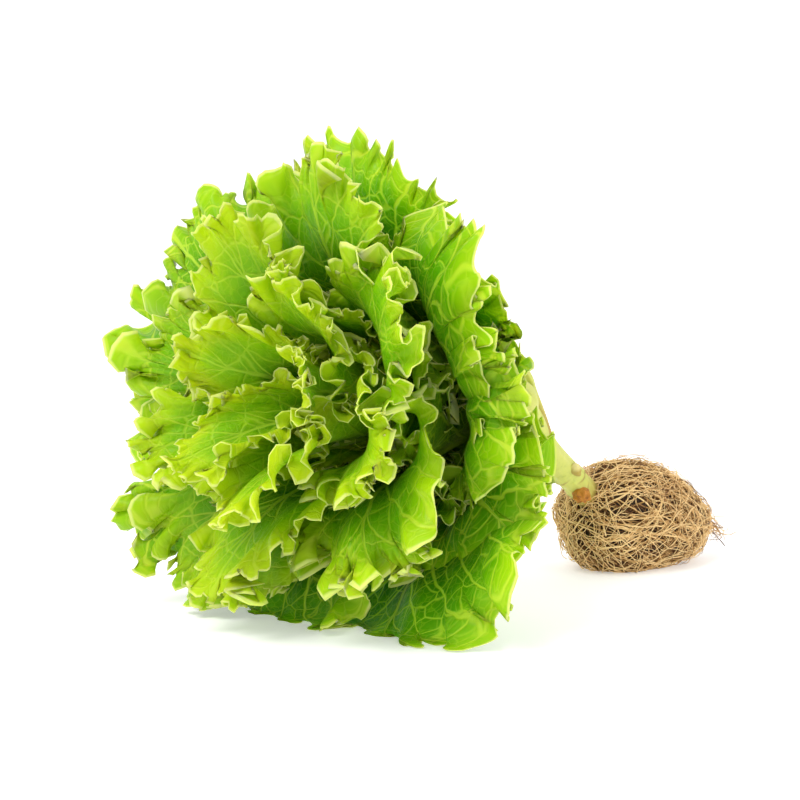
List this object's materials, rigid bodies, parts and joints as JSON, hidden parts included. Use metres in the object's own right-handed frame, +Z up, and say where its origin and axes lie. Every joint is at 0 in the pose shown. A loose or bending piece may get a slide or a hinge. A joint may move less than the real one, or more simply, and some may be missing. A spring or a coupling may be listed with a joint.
{
  "type": "head of lettuce",
  "caption": "Head of green leaf lettuce lifted with its roots and lying on its side: frilled leaves in a nested rosette on a short bare stem that bends down to a matted root ball.",
  "frame": {"origin": "on the table, under the middle of the plant's bounding box", "axes": "+Z up from the table; the heart of the head points along -X and the root ball lies at +X"},
  "size_m": [0.3696, 0.261, 0.2268],
  "materials": {
    "leaf_outer": "moist satin leaf, fresh green with a paler vein network and rim",
    "leaf_middle": "moist satin leaf, yellow-green with frilled paler rim",
    "leaf_heart": "tender satin leaf, pale yellow-green",
    "stem": "smooth moist pale green-yellow stem with leaf scars",
    "dried_stub": "dried orange-brown tissue",
    "roots": "matted tan and brown root fibres"
  },
  "bodies": {
    "root": {"stem": "stem", "root_ball": "roots", "root_tail": "roots", "petiole_stub_upper": "stem", "petiole_stub_lower": "stem", "petiole_stub_dried": "dried_stub", "leaf_outer_left": "leaf_outer", "leaf_outer_bottom": "leaf_outer", "leaf_outer_top_left": "leaf_outer", "leaf_outer_right": "leaf_outer", "leaf_outer_bottom_left": "leaf_outer", "leaf_outer_right_upper": "leaf_outer", "leaf_outer_top": "leaf_outer", "leaf_outer_left_lower": "leaf_outer", "leaf_outer_top_right": "leaf_outer", "leaf_middle_01": "leaf_middle", "leaf_middle_02": "leaf_middle", "leaf_middle_03": "leaf_middle", "leaf_middle_04": "leaf_middle", "leaf_middle_05": "leaf_middle", "leaf_inner_06": "leaf_heart", "leaf_inner_07": "leaf_heart", "leaf_inner_08": "leaf_heart", "leaf_inner_09": "leaf_heart", "leaf_inner_10": "leaf_heart", "leaf_heart_11": "leaf_heart", "leaf_heart_12": "leaf_heart", "leaf_heart_13": "leaf_heart", "leaf_heart_14": "leaf_heart"}
  },
  "joints": []
}
